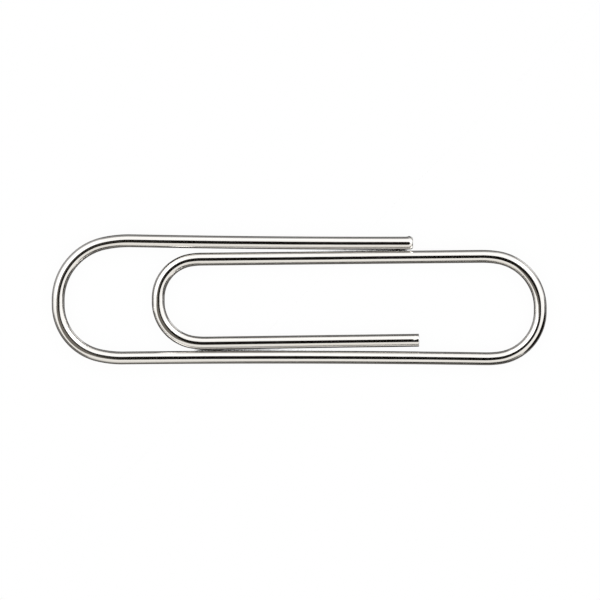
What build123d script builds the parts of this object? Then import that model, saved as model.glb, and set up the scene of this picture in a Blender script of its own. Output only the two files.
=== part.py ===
from build123d import *
import os
from collections import namedtuple
from math import atan, copysign, cos, radians, sin, tan

# Round-ended wire paper clip, lying flat: X along the clip, Y across it, Z up, with its underside at z = 0.
# The clip is one plated steel wire. Its spans are cut square to the wire, where a leg runs into a bend and at
# the crown of each bend, so that neighbours meet face to face and can twist on each other at a crown.
# Sizes are in millimetres and angles in degrees.

wire_diameter = 0.83

# Overall length, and the width of the large bend, over the wire
clip_length = 32.00
large_bend_width = 8.41

# The inner loop, or tongue, starts this far in from the large bend
tongue_setback = 6.47

# Each free leg, from the outside of its bend to its cut end
outer_leg_reach = 23.39
tongue_leg_reach = 17.30

# Gaps in the plane of the clip: outer leg over inner leg, tongue over the crest of the long leg
outer_leg_gap = 0.07
tongue_gap = 0.08

# Each leg leaves its bend turned inwards by this much. The long leg has a bend at each end, and bows between them.
outer_leg_lean = 1.11
long_leg_lean = 0.61
long_leg_end_lean = 0.86
inner_leg_lean = 0.57
tongue_leg_lean = 0.76

# The outer leg sags by this much between its bend and its cut end
outer_leg_sag = 0.05

# Upper radius less lower radius of each bend
large_bend_skew = 0.38
end_bend_skew = 0.25
small_bend_skew = -0.16

# The last part of each bend springs back to a larger radius before the leg
large_bend_ease = 13.5
end_bend_ease = 8.5
small_bend_ease = 8.5
ease_ratio = 2.0

# Straight wire across the clip at the crown of each bend: the run that twists as the clip opens
large_crown_run = 0.28
end_crown_run = 0.24
small_crown_run = 0.25

# Rolled edge that the shear leaves at each cut end
outer_tip_round = 0.14
tongue_tip_round = 0.08

wire_radius = wire_diameter / 2
wire_plane = Plane.XY.offset(wire_radius)
outer_lean = radians(outer_leg_lean)
long_lean = radians(long_leg_lean)
long_end_lean = radians(long_leg_end_lean)
inner_lean = radians(inner_leg_lean)

UnitBend = namedtuple("UnitBend", "reach rise height")


def unit_bend(lean, ease):
    """Half a bend of radius 1: reach and rise from its crown to its leg, and its full height."""
    arc_turn = radians(90 + lean - ease)
    reach = 1 + (ease_ratio - 1) * cos(arc_turn) + ease_ratio * sin(radians(lean))
    height = ease_ratio - (ease_ratio - 1) * sin(arc_turn)
    rise = height - ease_ratio * (1 - cos(radians(lean)))
    return UnitBend(reach, rise, height)


large_upper = unit_bend(outer_leg_lean, large_bend_ease)
large_lower = unit_bend(long_leg_lean, large_bend_ease)
end_lower = unit_bend(long_leg_end_lean, end_bend_ease)
end_upper = unit_bend(inner_leg_lean, end_bend_ease)
small_upper = unit_bend(-inner_leg_lean, small_bend_ease)
small_lower = unit_bend(tongue_leg_lean, small_bend_ease)

# Centre line of the wire at the three crowns. Heights across the clip are taken from the large bend's lowest line,
# until they are moved further down.
large_crown_x = wire_radius - clip_length / 2
end_crown_x = clip_length / 2 - wire_radius
small_crown_x = large_crown_x + tongue_setback

# The large bend fills its width
large_bend_height = large_bend_width - wire_diameter
large_lower_radius = (large_bend_height - large_crown_run - large_bend_skew * large_upper.height) / (
    large_upper.height + large_lower.height
)
large_upper_radius = large_lower_radius + large_bend_skew
large_crown_y = large_lower_radius * large_lower.height + large_crown_run / 2

# The outer leg slopes down from the large bend, less steeply towards its cut end
outer_start_x = large_crown_x + large_upper_radius * large_upper.reach
outer_start_y = large_crown_y + large_crown_run / 2 + large_upper_radius * large_upper.rise
outer_tip_x = large_crown_x - wire_radius + outer_leg_reach
outer_slope = tan(outer_lean - 2 * atan(2 * outer_leg_sag / (outer_tip_x - outer_start_x)))
outer_tip_y = outer_start_y - (outer_tip_x - outer_start_x) * outer_slope

# The inner leg passes under that cut end and rises towards the end bend
inner_slope = tan(inner_lean)
inner_y_at_outer_tip = outer_tip_y - wire_diameter - outer_leg_gap
inner_y_at_end = inner_y_at_outer_tip + (end_crown_x - outer_tip_x) * inner_slope
inner_y_at_small = inner_y_at_outer_tip + (small_crown_x - outer_tip_x) * inner_slope

# The long leg falls towards the end bend, where it leans more
long_start_x = large_crown_x + large_lower_radius * large_lower.reach
long_start_y = large_crown_y - large_crown_run / 2 - large_lower_radius * large_lower.rise
long_slope = tan((long_end_lean - long_lean) / 2)
long_y_at_end = long_start_y - (end_crown_x - long_start_x) * long_slope

# The end bend joins the inner leg's line to the long leg's line
end_upper_share = end_upper.rise + end_upper.reach * inner_slope
end_lower_share = end_lower.rise + end_lower.reach * long_slope
end_bend_height = inner_y_at_end - long_y_at_end
end_lower_radius = (end_bend_height - end_crown_run - end_bend_skew * end_upper_share) / (
    end_upper_share + end_lower_share
)
end_upper_radius = end_lower_radius + end_bend_skew
end_crown_y = inner_y_at_end - end_upper_radius * end_upper_share - end_crown_run / 2
end_lowest_y = end_crown_y - end_crown_run / 2 - end_lower_radius * end_lower.height

# Crest of the long leg
long_run = end_crown_x - end_lower_radius * end_lower.reach - long_start_x
long_bow_radius = long_run / (sin(long_lean) + sin(long_end_lean))
long_crest_y = long_start_y + long_bow_radius * (1 - cos(long_lean))

# The small bend joins the inner leg's line to the lowest line of the tongue, over that crest
tongue_lowest_y = long_crest_y + wire_diameter + tongue_gap
small_upper_share = small_upper.rise - small_upper.reach * inner_slope
small_bend_height = inner_y_at_small - tongue_lowest_y
small_lower_radius = (small_bend_height - small_crown_run - small_bend_skew * small_upper_share) / (
    small_upper_share + small_lower.height
)
small_upper_radius = small_lower_radius + small_bend_skew
small_crown_y = tongue_lowest_y + small_lower_radius * small_lower.height + small_crown_run / 2

# The tongue leg runs from the small bend to its cut end
tongue_start_x = small_crown_x + small_lower_radius * small_lower.reach
tongue_tip_x = small_crown_x - wire_radius + tongue_leg_reach
tongue_run = (tongue_tip_x - tongue_start_x) / cos(radians(tongue_leg_lean))

# Heights are moved so that the middle of the clip's width is at y = 0
middle_y = (large_bend_height + min(0, end_lowest_y)) / 2
large_crown = (large_crown_x, large_crown_y - middle_y)
end_crown = (end_crown_x, end_crown_y - middle_y)
small_crown = (small_crown_x, small_crown_y - middle_y)
outer_tip = (outer_tip_x, outer_tip_y - middle_y, wire_radius)

up = (0, 1)
down = (0, -1)
os.makedirs("parts", exist_ok=True)


def half_bend(name, crown, heading, crown_run, radius, turn, ease):
    """Makes the wire from a bend's crown round to its leg, and gives the plane of the face where the leg starts."""
    arc_start = (crown[0], crown[1] + heading[1] * crown_run / 2)
    ease_turn = copysign(ease, turn)
    with BuildPart() as bend:
        with BuildLine(wire_plane) as path:
            Line(crown, arc_start)
            arc = JernArc(arc_start, heading, radius, turn - ease_turn)
            ease_start, ease_heading = arc @ 1, arc % 1
            JernArc(
                (ease_start.X, ease_start.Y), (ease_heading.X, ease_heading.Y), radius * ease_ratio, ease_turn
            )
        with BuildSketch(Plane(origin=path.line @ 0, z_dir=path.line % 0)):
            Circle(wire_radius)
        sweep()
    bend.part.label = name
    export_step(bend.part, f"parts/{name}.step")
    return Plane(origin=path.line @ 1, z_dir=path.line % 1)


outer_seat = half_bend(
    "large_bend_upper", large_crown, up, large_crown_run, large_upper_radius,
    -90 - outer_leg_lean, large_bend_ease,
)
long_seat = half_bend(
    "large_bend_lower", large_crown, down, large_crown_run, large_lower_radius,
    90 + long_leg_lean, large_bend_ease,
)
long_end_seat = half_bend(
    "end_bend_lower", end_crown, down, end_crown_run, end_lower_radius,
    -90 - long_leg_end_lean, end_bend_ease,
)
inner_seat = half_bend(
    "end_bend_upper", end_crown, up, end_crown_run, end_upper_radius,
    90 + inner_leg_lean, end_bend_ease,
)
inner_end_seat = half_bend(
    "small_bend_upper", small_crown, up, small_crown_run, small_upper_radius,
    -90 + inner_leg_lean, small_bend_ease,
)
tongue_seat = half_bend(
    "small_bend_lower", small_crown, down, small_crown_run, small_lower_radius,
    90 + tongue_leg_lean, small_bend_ease,
)

# Free leg along the top of the clip, with its cut end to the right
with BuildPart() as outer_leg:
    with BuildLine() as outer_path:
        TangentArc(outer_seat.origin, outer_tip, tangent=outer_seat.z_dir)
    with BuildSketch(outer_seat):
        Circle(wire_radius)
    sweep()
    fillet(outer_leg.faces().sort_by(Axis.X)[-1].edges(), outer_tip_round)
outer_leg.part.label = "outer_leg"
export_step(outer_leg.part, "parts/outer_leg.step")

# Leg along the bottom of the clip, from the large bend to the end bend
with BuildPart() as long_leg:
    with BuildLine() as long_path:
        TangentArc(long_seat.origin, long_end_seat.origin, tangent=long_seat.z_dir)
    with BuildSketch(long_seat):
        Circle(wire_radius)
    sweep()
long_leg.part.label = "long_leg"
export_step(long_leg.part, "parts/long_leg.step")

# Leg from the end bend back to the small bend
with BuildPart() as inner_leg:
    with BuildSketch(inner_seat):
        Circle(wire_radius)
    extrude(amount=(inner_end_seat.origin - inner_seat.origin).length)
inner_leg.part.label = "inner_leg"
export_step(inner_leg.part, "parts/inner_leg.step")

# Free leg of the tongue, with its cut end to the right
with BuildPart() as tongue_leg:
    with BuildSketch(tongue_seat):
        Circle(wire_radius)
    extrude(amount=tongue_run)
    fillet(tongue_leg.faces().sort_by(Axis.X)[-1].edges(), tongue_tip_round)
tongue_leg.part.label = "tongue_leg"
export_step(tongue_leg.part, "parts/tongue_leg.step")
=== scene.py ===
from math import atan2, cos, exp, pi, radians, sin, tan

import bmesh
import bpy
from mathutils import Matrix, Vector


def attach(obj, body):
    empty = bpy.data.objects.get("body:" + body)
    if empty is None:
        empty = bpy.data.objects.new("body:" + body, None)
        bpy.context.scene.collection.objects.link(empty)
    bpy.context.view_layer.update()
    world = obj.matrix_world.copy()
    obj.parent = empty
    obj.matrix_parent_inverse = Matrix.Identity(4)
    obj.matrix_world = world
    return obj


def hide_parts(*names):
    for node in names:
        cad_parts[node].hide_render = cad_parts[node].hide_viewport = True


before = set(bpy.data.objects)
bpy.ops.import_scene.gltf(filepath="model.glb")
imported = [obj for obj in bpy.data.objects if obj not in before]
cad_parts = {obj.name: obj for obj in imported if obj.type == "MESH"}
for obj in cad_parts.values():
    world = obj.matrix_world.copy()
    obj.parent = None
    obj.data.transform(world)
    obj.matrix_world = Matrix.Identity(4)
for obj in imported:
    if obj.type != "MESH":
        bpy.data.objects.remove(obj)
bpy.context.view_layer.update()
mm = 0.001
scene = bpy.context.scene
print("frame loaded:", len(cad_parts), "spans of wire")


# Short ways to build node trees
def addNode(tree, kind, inputs=(), **settings):
    node = tree.nodes.new(kind)
    for name, value in settings.items():
        setattr(node, name, value)
    for name, value in dict(inputs).items():
        if isinstance(value, bpy.types.NodeSocket):
            tree.links.new(value, node.inputs[name])
        else:
            node.inputs[name].default_value = value
    return node


def newMaterial(name):
    material = bpy.data.materials.new(name)
    material.use_nodes = True
    material.node_tree.nodes.clear()
    return material, material.node_tree


def surface(tree, shader):
    addNode(tree, "ShaderNodeOutputMaterial", {"Surface": shader})


def maths(tree, operation, first, second=0.0):
    return addNode(tree, "ShaderNodeMath", {0: first, 1: second}, operation=operation).outputs[0]


def remap(tree, value, fromLow, fromHigh, toLow, toHigh, smooth=False):
    kind = "SMOOTHSTEP" if smooth else "LINEAR"
    inputs = {"Value": value, 1: fromLow, 2: fromHigh, 3: toLow, 4: toHigh}
    return addNode(tree, "ShaderNodeMapRange", inputs, interpolation_type=kind).outputs[0]


def stretched(tree, vector, scale):
    return addNode(tree, "ShaderNodeVectorMath", {0: vector, 1: scale}, operation="MULTIPLY").outputs[0]


# Sockets 6 and 7 of a Mix node are its two colours, and output 2 is the mixed one
def mixTone(tree, factor, first, second):
    inputs = {"Factor": factor, 6: (*first, 1), 7: (*second, 1)}
    return addNode(tree, "ShaderNodeMix", inputs, data_type="RGBA").outputs[2]


def mixShader(tree, factor, first, second):
    return addNode(tree, "ShaderNodeMixShader", {0: factor, 1: first, 2: second}).outputs[0]


def clearShader(tree):
    return addNode(tree, "ShaderNodeBsdfTransparent").outputs[0]


# Bright plating over drawn steel wire. The wireGrain attribute holds the distance along the wire in metres
# and the place round it as a point on a unit circle, so that the drawing lines follow the bends.
plating = {
    "tone": (0.787, 0.772, 0.750),
    "lineTone": (0.71, 0.69, 0.655),
    "roughness": (0.05, 0.12),
    "lineSpread": (0.3, 0.7),      # noise over which the roughness grows
    "wornSpread": (0.42, 0.66),    # noise over which the tone turns into the line tone
    # Scales are in lines per metre along the wire, and per unit round it
    "fineLines": {"scale": (350, 26, 26), "detail": 2, "depth": 0.2e-6},
    "broadLines": {"scale": (90, 7, 7), "detail": 3, "depth": 0.7e-6},
    "ripples": {"scale": (900, 2.2, 2.2), "detail": 1, "depth": 0.7e-6},
}


def platingMaterial():
    material, tree = newMaterial("brightPlating")
    grain = addNode(tree, "ShaderNodeAttribute", attribute_name="wireGrain").outputs["Vector"]
    noises = {}
    for name in ("fineLines", "broadLines", "ripples"):
        place = stretched(tree, grain, plating[name]["scale"])
        inputs = {"Vector": place, "Scale": 1.0, "Detail": plating[name]["detail"]}
        noises[name] = addNode(tree, "ShaderNodeTexNoise", inputs).outputs["Fac"]
    worn = remap(tree, noises["broadLines"], *plating["wornSpread"], 0.0, 1.0, True)
    tone = mixTone(tree, worn, plating["tone"], plating["lineTone"])
    rough = remap(tree, noises["fineLines"], *plating["lineSpread"], *plating["roughness"])
    bumped = {}
    for name in ("ripples", "broadLines", "fineLines"):      # each on top of the one before
        inputs = {"Height": noises[name], "Distance": plating[name]["depth"], **bumped}
        bumped = {"Normal": addNode(tree, "ShaderNodeBump", inputs).outputs[0]}
    metal = addNode(tree, "ShaderNodeBsdfPrincipled", {
        "Base Color": tone, "Roughness": rough, "Metallic": 1.0, **bumped,
    })
    surface(tree, metal.outputs[0])
    return material


# Bare steel where the wire was sheared off: a burnished strip, and a torn face below it
shearedSteel = {
    "burnished": (0.55, 0.54, 0.52),
    "torn": (0.30, 0.29, 0.28),
    "roughness": (0.28, 0.55),
    "tearScale": 14.0,
    "tearDetail": 4,
    "tearDepth": 6e-6,
    "tearEdge": (0.30, 0.45),    # height at which the torn face gives way to the strip, in radii of the wire
    "tearWander": 0.3,           # by how much the noise moves that edge
}


def shearedMaterial():
    material, tree = newMaterial("shearedSteel")
    grain = addNode(tree, "ShaderNodeAttribute", attribute_name="wireGrain").outputs["Vector"]
    face = stretched(tree, grain, (0, 1, 1))
    inputs = {"Vector": face, "Scale": shearedSteel["tearScale"], "Detail": shearedSteel["tearDetail"]}
    noise = addNode(tree, "ShaderNodeTexNoise", inputs).outputs["Fac"]
    height = addNode(tree, "ShaderNodeSeparateXYZ", {0: face}).outputs[2]
    edge = maths(tree, "ADD", height, maths(tree, "MULTIPLY", noise, shearedSteel["tearWander"]))
    torn = remap(tree, edge, *shearedSteel["tearEdge"], 1.0, 0.0)
    tone = mixTone(tree, torn, shearedSteel["burnished"], shearedSteel["torn"])
    bump = addNode(tree, "ShaderNodeBump", {
        "Height": maths(tree, "MULTIPLY", noise, torn), "Distance": shearedSteel["tearDepth"],
    })
    metal = addNode(tree, "ShaderNodeBsdfPrincipled", {
        "Base Color": tone, "Roughness": remap(tree, torn, 0, 1, *shearedSteel["roughness"]),
        "Normal": bump.outputs[0], "Metallic": 1.0,
    })
    surface(tree, metal.outputs[0])
    return material


brightPlating = platingMaterial()
shearedEnd = shearedMaterial()
print("materials made")


# The wire is fed and bent as on a wire bender: each span starts where the last one stopped.
# A place is a matrix whose X is the wire's left, Y is up and Z is the way that it is fed.
# Angles are in degrees.
wire = {
    "radius": 0.415 * mm,
    "sides": 64,
    "arcStep": 1.0,      # degrees of bend from ring to ring
    "leastSteps": 16,    # rings in a slight bend
    "legSteps": 12,
    "tipSteps": 16,
    "rollSteps": 6,
    "easeRatio": 2.0,    # radius of the eased part of a bend, to the radius of the bend
    "crownGap": 0.002 * mm,    # room for the halves of a bend to turn on each other
}


def placeAt(x, y, heading):
    ahead = Vector((cos(radians(heading)), sin(radians(heading)), 0))
    up = Vector((0, 0, 1))
    place = Matrix((up.cross(ahead), up, ahead)).transposed().to_4x4()
    place.translation = (x, y, wire["radius"])
    return place


def tagGrain(span, verts):
    turnBack = span["place"].inverted()
    for vert in verts:
        side, up, ahead = turnBack @ vert.co
        vert[span["grain"]] = (span["along"], side / wire["radius"], up / wire["radius"])


def startSpan(place, along, radius=wire["radius"]):
    bm = bmesh.new()
    grain = bm.verts.layers.float_vector.new("wireGrain")
    span = {"bm": bm, "place": place, "along": along, "grain": grain}
    bmesh.ops.create_circle(bm, segments=wire["sides"], radius=radius, matrix=place)
    span["first"] = span["ring"] = list(bm.edges)
    tagGrain(span, bm.verts)
    return span


def feed(span, length, steps=1, widen=1.0):
    for step in range(steps):
        made = bmesh.ops.extrude_edge_only(span["bm"], edges=span["ring"])["geom"]
        verts = [part for part in made if isinstance(part, bmesh.types.BMVert)]
        fresh = set(verts)
        edges = [part for part in made if isinstance(part, bmesh.types.BMEdge)]
        span["ring"] = [edge for edge in edges if fresh.issuperset(edge.verts)]
        ahead = span["place"].to_3x3() @ Vector((0, 0, length / steps))
        bmesh.ops.translate(span["bm"], verts=verts, vec=ahead)
        span["place"] = Matrix.Translation(ahead) @ span["place"]
        bmesh.ops.scale(span["bm"], verts=verts, vec=(widen,) * 3, space=span["place"].inverted())
        span["along"] += length / steps
        tagGrain(span, verts)


def bend(span, radius, angle):
    bm = span["bm"]
    hand = 1 if angle > 0 else -1
    centre = span["place"] @ Vector((hand * radius, 0, 0))
    start = span["place"].translation - centre
    earlier = set(bm.verts)
    steps = max(wire["leastSteps"], round(abs(angle) / wire["arcStep"]))
    made = bmesh.ops.spin(
        bm, geom=span["ring"], cent=centre, axis=(0, 0, 1), angle=radians(angle), steps=steps,
    )
    span["ring"] = [part for part in made["geom_last"] if isinstance(part, bmesh.types.BMEdge)]
    for vert in bm.verts:
        if vert in earlier:
            continue
        out = vert.co - centre
        swung = atan2(start.x * out.y - start.y * out.x, start.x * out.x + start.y * out.y)
        side = hand * (radius - out.xy.length) / wire["radius"]
        vert[span["grain"]] = (span["along"] + abs(swung) * radius, side, out.z / wire["radius"])
    turn = Matrix.Rotation(radians(angle), 4, "Z")
    span["place"] = Matrix.Translation(centre) @ turn @ Matrix.Translation(-centre) @ span["place"]
    span["along"] += radius * radians(abs(angle))


# Half a bend between its leg and its crown: the part beside the leg has sprung back to a larger radius
def bendToCrown(span, half):
    bend(span, half["radius"] * wire["easeRatio"], half["ease"])
    bend(span, half["radius"], half["angle"] - half["ease"])
    feed(span, half["crownRun"] - wire["crownGap"])
    span["place"] = span["place"] @ Matrix.Translation((0, 0, wire["crownGap"]))
    span["along"] += wire["crownGap"]


def bendFromCrown(span, half):
    feed(span, half["crownRun"])
    bend(span, half["radius"], half["angle"] - half["ease"])
    bend(span, half["radius"] * wire["easeRatio"], half["ease"])


# The shear rolls the edge of a cut end over: opening from the end, or closing towards it
def rollEdge(span, roll, opening):
    radius = wire["radius"]
    deep = roll["deep"]
    angles = [pi / 2 * step / wire["rollSteps"] for step in range(wire["rollSteps"] + 1)]
    for before, after in zip(angles, angles[1:]):
        if opening:
            ahead = roll["long"] * (cos(before) - cos(after))
            widen = (radius - deep * (1 - sin(after))) / (radius - deep * (1 - sin(before)))
        else:
            ahead = roll["long"] * (sin(after) - sin(before))
            widen = (radius - deep * (1 - cos(after))) / (radius - deep * (1 - cos(before)))
        feed(span, ahead, widen=widen)


def closeRing(span, ring, cut=None):
    for edge in ring:
        edge.smooth = False
    face = bmesh.ops.edgeloop_fill(span["bm"], edges=ring)["faces"][0]
    if cut:
        face.material_index = 1
        bmesh.ops.inset_individual(
            span["bm"], faces=[face], thickness=cut["dishRim"], depth=-cut["dishDepth"], use_even_offset=True,
        )


# Metal that the shear dragged up or pressed in, beside the cut end: round and wide are angles round the wire,
# back and long are lengths along it
def raiseBurr(span, tip, burr):
    turnBack = tip.inverted()
    for vert in span["bm"].verts:
        side, up, ahead = turnBack @ vert.co
        swing = atan2(up, side) - radians(burr["round"])
        swing = atan2(sin(swing), cos(swing))
        lift = exp(-((ahead - burr["back"]) / burr["long"]) ** 2) * exp(-(swing / radians(burr["wide"])) ** 2)
        outward = tip.to_3x3() @ Vector((side, up, 0))
        vert.co += outward * (burr["high"] * lift / wire["radius"])


def finishSpan(span, piece, startCut=None, endCut=None):
    bm = span["bm"]
    for face in bm.faces:
        face.smooth = True
    closeRing(span, span["first"], startCut)
    closeRing(span, span["ring"], endCut)
    bmesh.ops.recalc_face_normals(bm, faces=bm.faces)
    mesh = bpy.data.meshes.new(piece["name"])
    bm.to_mesh(mesh)
    bm.free()
    mesh.materials.append(brightPlating)
    mesh.materials.append(shearedEnd)
    wireObject = bpy.data.objects.new(piece["name"], mesh)
    scene.collection.objects.link(wireObject)
    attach(wireObject, piece["body"])
    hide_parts(piece["node"])
    print(piece["name"], "made,", len(mesh.polygons), "faces")
    return span["place"], span["along"]


# Free leg along the top, from its cut end. It sags a little on the way to the large bend.
outerLeg = {
    "name": "outerLegWire", "node": "outer_leg", "body": "outer_arm",
    "tip": (7.35 * mm, 3.66035 * mm),
    "heading": 180.10194,
    "run": 18.23137 * mm,
    "turn": -1.21194,
    "tipRoll": {"long": 0.25 * mm, "deep": 0.12 * mm},
    "tipRun": 0.5 * mm,
    "dishRim": 0.03 * mm, "dishDepth": 0.02 * mm,
    "burr": {"round": 180, "back": 0.23 * mm, "long": 0.10 * mm, "wide": 28, "high": 0.05 * mm},
}
tip = placeAt(*outerLeg["tip"], outerLeg["heading"])
span = startSpan(tip, 0.0, wire["radius"] - outerLeg["tipRoll"]["deep"])
rollEdge(span, outerLeg["tipRoll"], True)
feed(span, outerLeg["tipRun"], wire["tipSteps"])
rest = outerLeg["run"] - outerLeg["tipRoll"]["long"] - outerLeg["tipRun"]
bend(span, rest / radians(abs(outerLeg["turn"])), outerLeg["turn"])
raiseBurr(span, tip, outerLeg["burr"])
place, along = finishSpan(span, outerLeg, startCut=outerLeg)

# Large bend, as two halves that meet at the crown
largeBendUpper = {
    "name": "largeBendUpperWire", "node": "large_bend_upper", "body": "outer_arm",
    "radius": 3.75378 * mm, "angle": 91.11, "ease": 13.5, "crownRun": 0.14 * mm,
}
span = startSpan(place, along)
bendToCrown(span, largeBendUpper)
place, along = finishSpan(span, largeBendUpper)

largeBendLower = {
    "name": "largeBendLowerWire", "node": "large_bend_lower", "body": "outer_loop",
    "radius": 3.37378 * mm, "angle": 90.61, "ease": 13.5, "crownRun": 0.14 * mm,
}
span = startSpan(place, along)
bendFromCrown(span, largeBendLower)
place, along = finishSpan(span, largeBendLower)

# Leg along the bottom, which bows up a little
longLeg = {
    "name": "longLegWire", "node": "long_leg", "body": "outer_loop",
    "bowRadius": 913.687 * mm, "turn": -1.47,
}
span = startSpan(place, along)
bend(span, longLeg["bowRadius"], longLeg["turn"])
place, along = finishSpan(span, longLeg)

# End bend
endBendLower = {
    "name": "endBendLowerWire", "node": "end_bend_lower", "body": "outer_loop",
    "radius": 3.03585 * mm, "angle": 90.86, "ease": 8.5, "crownRun": 0.12 * mm,
}
span = startSpan(place, along)
bendToCrown(span, endBendLower)
place, along = finishSpan(span, endBendLower)

endBendUpper = {
    "name": "endBendUpperWire", "node": "end_bend_upper", "body": "tongue",
    "radius": 3.28585 * mm, "angle": 90.57, "ease": 8.5, "crownRun": 0.12 * mm,
}
span = startSpan(place, along)
bendFromCrown(span, endBendUpper)
place, along = finishSpan(span, endBendUpper)

# Leg back along the top of the tongue
innerLeg = {
    "name": "innerLegWire", "node": "inner_leg", "body": "tongue",
    "run": 18.07387 * mm,
}
span = startSpan(place, along)
feed(span, innerLeg["run"], wire["legSteps"])
place, along = finishSpan(span, innerLeg)

# Small bend
smallBendUpper = {
    "name": "smallBendUpperWire", "node": "small_bend_upper", "body": "tongue",
    "radius": 2.48076 * mm, "angle": 89.43, "ease": 8.5, "crownRun": 0.125 * mm,
}
span = startSpan(place, along)
bendToCrown(span, smallBendUpper)
place, along = finishSpan(span, smallBendUpper)

smallBendLower = {
    "name": "smallBendLowerWire", "node": "small_bend_lower", "body": "tongue_arm",
    "radius": 2.64076 * mm, "angle": 90.76, "ease": 8.5, "crownRun": 0.125 * mm,
}
span = startSpan(place, along)
bendFromCrown(span, smallBendLower)
place, along = finishSpan(span, smallBendLower)

# Free leg of the tongue, to its cut end
tongueLeg = {
    "name": "tongueLegWire", "node": "tongue_leg", "body": "tongue_arm",
    "run": 13.795 * mm,
    "tipRoll": {"long": 0.03 * mm, "deep": 0.04 * mm},
    "tipRun": 0.5 * mm,
    "dishRim": 0.03 * mm, "dishDepth": 0.02 * mm,
    "nick": {"round": 74, "back": -0.25 * mm, "long": 0.09 * mm, "wide": 16, "high": -0.018 * mm},
}
span = startSpan(place, along)
rest = tongueLeg["run"] - tongueLeg["tipRoll"]["long"] - tongueLeg["tipRun"]
feed(span, rest, wire["legSteps"])
feed(span, tongueLeg["tipRun"], wire["tipSteps"])
rollEdge(span, tongueLeg["tipRoll"], False)
raiseBurr(span, span["place"], tongueLeg["nick"])
place, along = finishSpan(span, tongueLeg, endCut=tongueLeg)
print("wire ends at", [round(c / mm, 3) for c in place.translation], "mm, length", round(along / mm, 2), "mm")


# Studio. Directions are seen from above: azimuth runs from +X towards +Y, and tilt is measured
# from straight up.
def stageObject(name, bm, material):
    mesh = bpy.data.meshes.new(name)
    bm.to_mesh(mesh)
    bm.free()
    mesh.materials.append(material)
    made = bpy.data.objects.new(name, mesh)
    scene.collection.objects.link(made)
    return made


def onlyInReflections(made):
    made.visible_camera = False
    made.visible_diffuse = False
    made.visible_shadow = False


def flatSquare(size, drop):
    bm = bmesh.new()
    bmesh.ops.create_grid(bm, x_segments=1, y_segments=1, size=size / 2)
    bmesh.ops.translate(bm, verts=bm.verts, vec=(0, 0, -drop))
    return bm


# From below, the floor and the sheet let everything show
def onlyFromAbove(tree, shader):
    under = addNode(tree, "ShaderNodeNewGeometry").outputs["Backfacing"]
    return mixShader(tree, under, shader, clearShader(tree))


# Rays for which the background is plain white
def backgroundRays(tree):
    path = addNode(tree, "ShaderNodeLightPath").outputs
    seen = maths(tree, "MAXIMUM", path["Is Camera Ray"], path["Is Glossy Ray"])
    return maths(tree, "MAXIMUM", seen, path["Is Transmission Ray"])


# The floor is pale. The white of the world shows on it, apart from a painted shade beside the wire and in the
# narrow gaps between wires: a dark emission, weighed by how shut in each spot is.
floor = {
    "size": 2.2, "drop": 0.02 * mm, "tone": (0.85, 0.85, 0.85),
    "shade": (0.014, 0.012, 0.009), "shadeReach": 1.2 * mm, "shadeDepth": 0.037, "shadeSamples": 16,
    "gapFound": 0.7,               # how far shut in a place is, for the finer shade to be worked out
    "gapShut": (0.861, 0.875),     # how far shut in a narrow gap is, as its shade grows
    "gapLean": 3.0,                # by how much that is less for each metre towards the near side
    "gapDepth": 1.0, "gapSamples": 128,
}


# The amounts go into the two shaders themselves, so that the fine shade costs time only in a gap
def shadeOn(tree, amount):
    left = maths(tree, "SUBTRACT", 1.0, amount)
    clear = addNode(tree, "ShaderNodeBsdfTransparent", {"Color": left}).outputs[0]
    inputs = {"Color": (*floor["shade"], 1), "Strength": amount}
    dark = addNode(tree, "ShaderNodeEmission", inputs).outputs[0]
    return addNode(tree, "ShaderNodeAddShader", {0: clear, 1: dark}).outputs[0]


def shutIn(tree, samples):
    inputs = {"Distance": floor["shadeReach"]}
    unblocked = addNode(tree, "ShaderNodeAmbientOcclusion", inputs, samples=samples).outputs["AO"]
    return maths(tree, "SUBTRACT", 1.0, unblocked)


material, tree = newMaterial("paleFloor")
shut = shutIn(tree, floor["shadeSamples"])
soft = maths(tree, "MULTIPLY", shut, floor["shadeDepth"])
spot = addNode(tree, "ShaderNodeTexCoord").outputs["Object"]
towardsFar = addNode(tree, "ShaderNodeSeparateXYZ", {0: spot}).outputs[1]
lean = maths(tree, "MULTIPLY", towardsFar, floor["gapLean"])
fineShut = maths(tree, "SUBTRACT", shutIn(tree, floor["gapSamples"]), lean)
# Painted shade in narrow gaps between wires, darker towards the near side
gap = remap(tree, fineShut, *floor["gapShut"], 0.0, floor["gapDepth"], True)
found = maths(tree, "GREATER_THAN", shut, floor["gapFound"])
shaded = mixShader(tree, found, shadeOn(tree, soft), shadeOn(tree, maths(tree, "MAXIMUM", soft, gap)))
pale = addNode(tree, "ShaderNodeBsdfDiffuse", {"Color": (*floor["tone"], 1)}).outputs[0]
surface(tree, onlyFromAbove(tree, mixShader(tree, backgroundRays(tree), pale, shaded)))
stageObject("paleFloor", flatSquare(floor["size"], floor["drop"]), material)

# Black gloss sheet under the clip, which draws the dark line along each edge of the wire
sheet = {"size": 0.12, "drop": 0.01 * mm, "tone": (0.014, 0.010, 0.007), "roughness": 0.04, "ior": 1.85}
material, tree = newMaterial("blackGlossSheet")
gloss = addNode(tree, "ShaderNodeBsdfPrincipled", {
    "Base Color": (*sheet["tone"], 1), "Roughness": sheet["roughness"], "IOR": sheet["ior"],
}).outputs[0]
surface(tree, onlyFromAbove(tree, gloss))
onlyInReflections(stageObject("blackGlossSheet", flatSquare(sheet["size"], sheet["drop"]), material))

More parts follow.
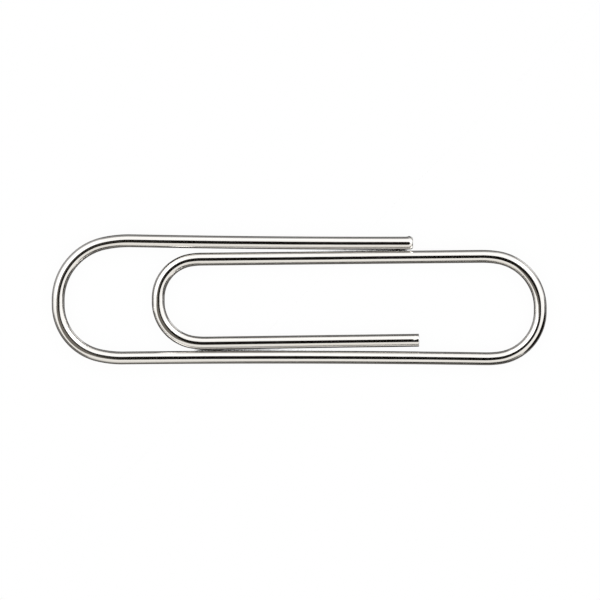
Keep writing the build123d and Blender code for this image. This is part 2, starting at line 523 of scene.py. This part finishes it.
# Light tent over the clip, brightest on the far side and dimmer towards the floor
tent = {
    "radius": 1.0,
    "farLight": 1.33, "farTone": (1, 1, 1), "farFrom": 0.05,      # full from this share of the radius on
    "nearLight": 0.96, "nearTone": (1.0, 0.975, 0.92),
    "footLight": 0.75, "footHeight": 0.35,
}
material, tree = newMaterial("lightTent")
spot = addNode(tree, "ShaderNodeTexCoord").outputs["Object"]
way = addNode(tree, "ShaderNodeSeparateXYZ", {0: spot}).outputs
far = remap(tree, way[1], -tent["radius"], tent["farFrom"] * tent["radius"], 0.0, 1.0)
foot = remap(tree, way[2], 0.0, tent["footHeight"] * tent["radius"], tent["footLight"], 1.0, True)
cloth = mixTone(tree, far, tent["nearTone"], tent["farTone"])
light = remap(tree, far, 0.0, 1.0, tent["nearLight"], tent["farLight"])
inputs = {"Color": cloth, "Strength": maths(tree, "MULTIPLY", light, foot)}
surface(tree, addNode(tree, "ShaderNodeEmission", inputs).outputs[0])
bm = bmesh.new()
bmesh.ops.create_uvsphere(bm, u_segments=48, v_segments=24, radius=tent["radius"])
bmesh.ops.bisect_plane(
    bm, geom=[*bm.verts, *bm.edges, *bm.faces],
    plane_co=(0, 0, -floor["drop"]), plane_no=(0, 0, 1), clear_inner=True,
)
stageObject("lightTent", bm, material).visible_camera = False

# Cards inside the tent: dark flags for the lens opening overhead and for gaps low down, and two bright
# windows on the far side, which show in the gloss of the sheet and so pale the edge of the wire.
# A card is deep by that angle each way along its tilt, and wide by that angle each way across it.
cards = {
    "lensFlag": {
        "azimuth": 232, "tilt": 7.9, "distance": 0.599,
        "deep": 29.9, "wide": 20.8, "spin": 24, "tone": (0.003, 0.002, 0.001),
    },
    "leftShoulderFlag": {
        "azimuth": 214, "tilt": 29.6, "distance": 0.184,
        "deep": 26.7, "wide": 18.4, "spin": 5, "tone": (0.189, 0.175, 0.155),
    },
    "rightShoulderFlag": {
        "azimuth": 293, "tilt": 11.0, "distance": 0.095,
        "deep": 14.8, "wide": 19.5, "spin": 5, "tone": (0.003, 0.002, 0.001),
    },
    "farGapFlag": {
        "azimuth": 93, "tilt": 89.5, "distance": 0.573,
        "deep": 7.6, "wide": 14.5, "spin": 3, "tone": (0.323, 0.323, 0.323),
    },
    "rightSideFlag": {
        "azimuth": 351, "tilt": 86.2, "distance": 0.376,
        "deep": 8.0, "wide": 19.9, "spin": -2, "tone": (0.028, 0.028, 0.028),
    },
    "rightGapFlag": {
        "azimuth": 338, "tilt": 92.2, "distance": 0.064,
        "deep": 28.0, "wide": 25.0, "spin": 1, "tone": (0, 0, 0),
    },
    "nearGapFlag": {
        "azimuth": 288, "tilt": 79.6, "distance": 0.151,
        "deep": 9.9, "wide": 22.9, "spin": 12, "tone": (0, 0, 0),
    },
    "leftGapFlag": {
        "azimuth": 215, "tilt": 88.0, "distance": 0.183,
        "deep": 8.1, "wide": 29.2, "spin": 6, "tone": (0.066, 0.061, 0.054),
    },
    "rightWindow": {
        "azimuth": 45, "tilt": 50, "distance": 0.7,
        "deep": 17, "wide": 13, "spin": 0, "tone": (8.5, 8.5, 8.5),
    },
    "leftWindow": {
        "azimuth": 142, "tilt": 50, "distance": 0.7,
        "deep": 17, "wide": 29, "spin": 0, "tone": (3.5, 3.5, 3.5),
    },
}
cardFade = (0.90, 1.0)      # share of its radius over which a card fades out
for name, card in cards.items():
    material, tree = newMaterial(name)
    spot = addNode(tree, "ShaderNodeTexCoord").outputs["Object"]
    fromMiddle = addNode(tree, "ShaderNodeVectorMath", {0: spot}, operation="LENGTH").outputs["Value"]
    fade = remap(tree, fromMiddle, *cardFade, 0.0, 1.0, True)
    lit = addNode(tree, "ShaderNodeEmission", {"Color": (*card["tone"], 1)}).outputs[0]
    surface(tree, mixShader(tree, fade, lit, clearShader(tree)))
    bm = bmesh.new()
    bmesh.ops.create_circle(bm, cap_ends=True, segments=48, radius=1.0)
    hung = stageObject(name, bm, material)
    onlyInReflections(hung)
    deep, wide = (card["distance"] * tan(radians(card[side])) for side in ("deep", "wide"))
    hung.matrix_world = (
        Matrix.Rotation(radians(card["azimuth"]), 4, "Z")
        @ Matrix.Rotation(radians(card["tilt"]), 4, "Y")
        @ Matrix.Translation((0, 0, card["distance"]))
        @ Matrix.Rotation(radians(card["spin"]), 4, "Z")
        @ Matrix.Diagonal((deep, wide, 1, 1))
    )

# The world is white behind everything, and the tent gives the light
world = bpy.data.worlds.new("studioWhite")
scene.world = world
world.use_nodes = True
tree = world.node_tree
tree.nodes.clear()
white = addNode(tree, "ShaderNodeBackground", {"Color": (1, 1, 1, 1), "Strength": backgroundRays(tree)})
addNode(tree, "ShaderNodeOutputWorld", {"Surface": white.outputs[0]})
print("studio set")

# Camera straight above, through a long lens
camera = {
    "frameWidth": 38.794 * mm, "height": 0.40, "aim": (0.0514 * mm, -0.0189 * mm),
    "sensor": 36.0, "clipEnd": 10,
}
lens = bpy.data.cameras.new("overheadCamera")
lens.sensor_fit = "HORIZONTAL"
lens.sensor_width = camera["sensor"]
lens.lens = camera["sensor"] * camera["height"] / camera["frameWidth"]
lens.clip_end = camera["clipEnd"]
overhead = bpy.data.objects.new("overheadCamera", lens)
overhead.location = (*camera["aim"], wire["radius"] + camera["height"])
scene.collection.objects.link(overhead)
scene.camera = overhead
scene.view_settings.view_transform = "Standard"
print("camera set")
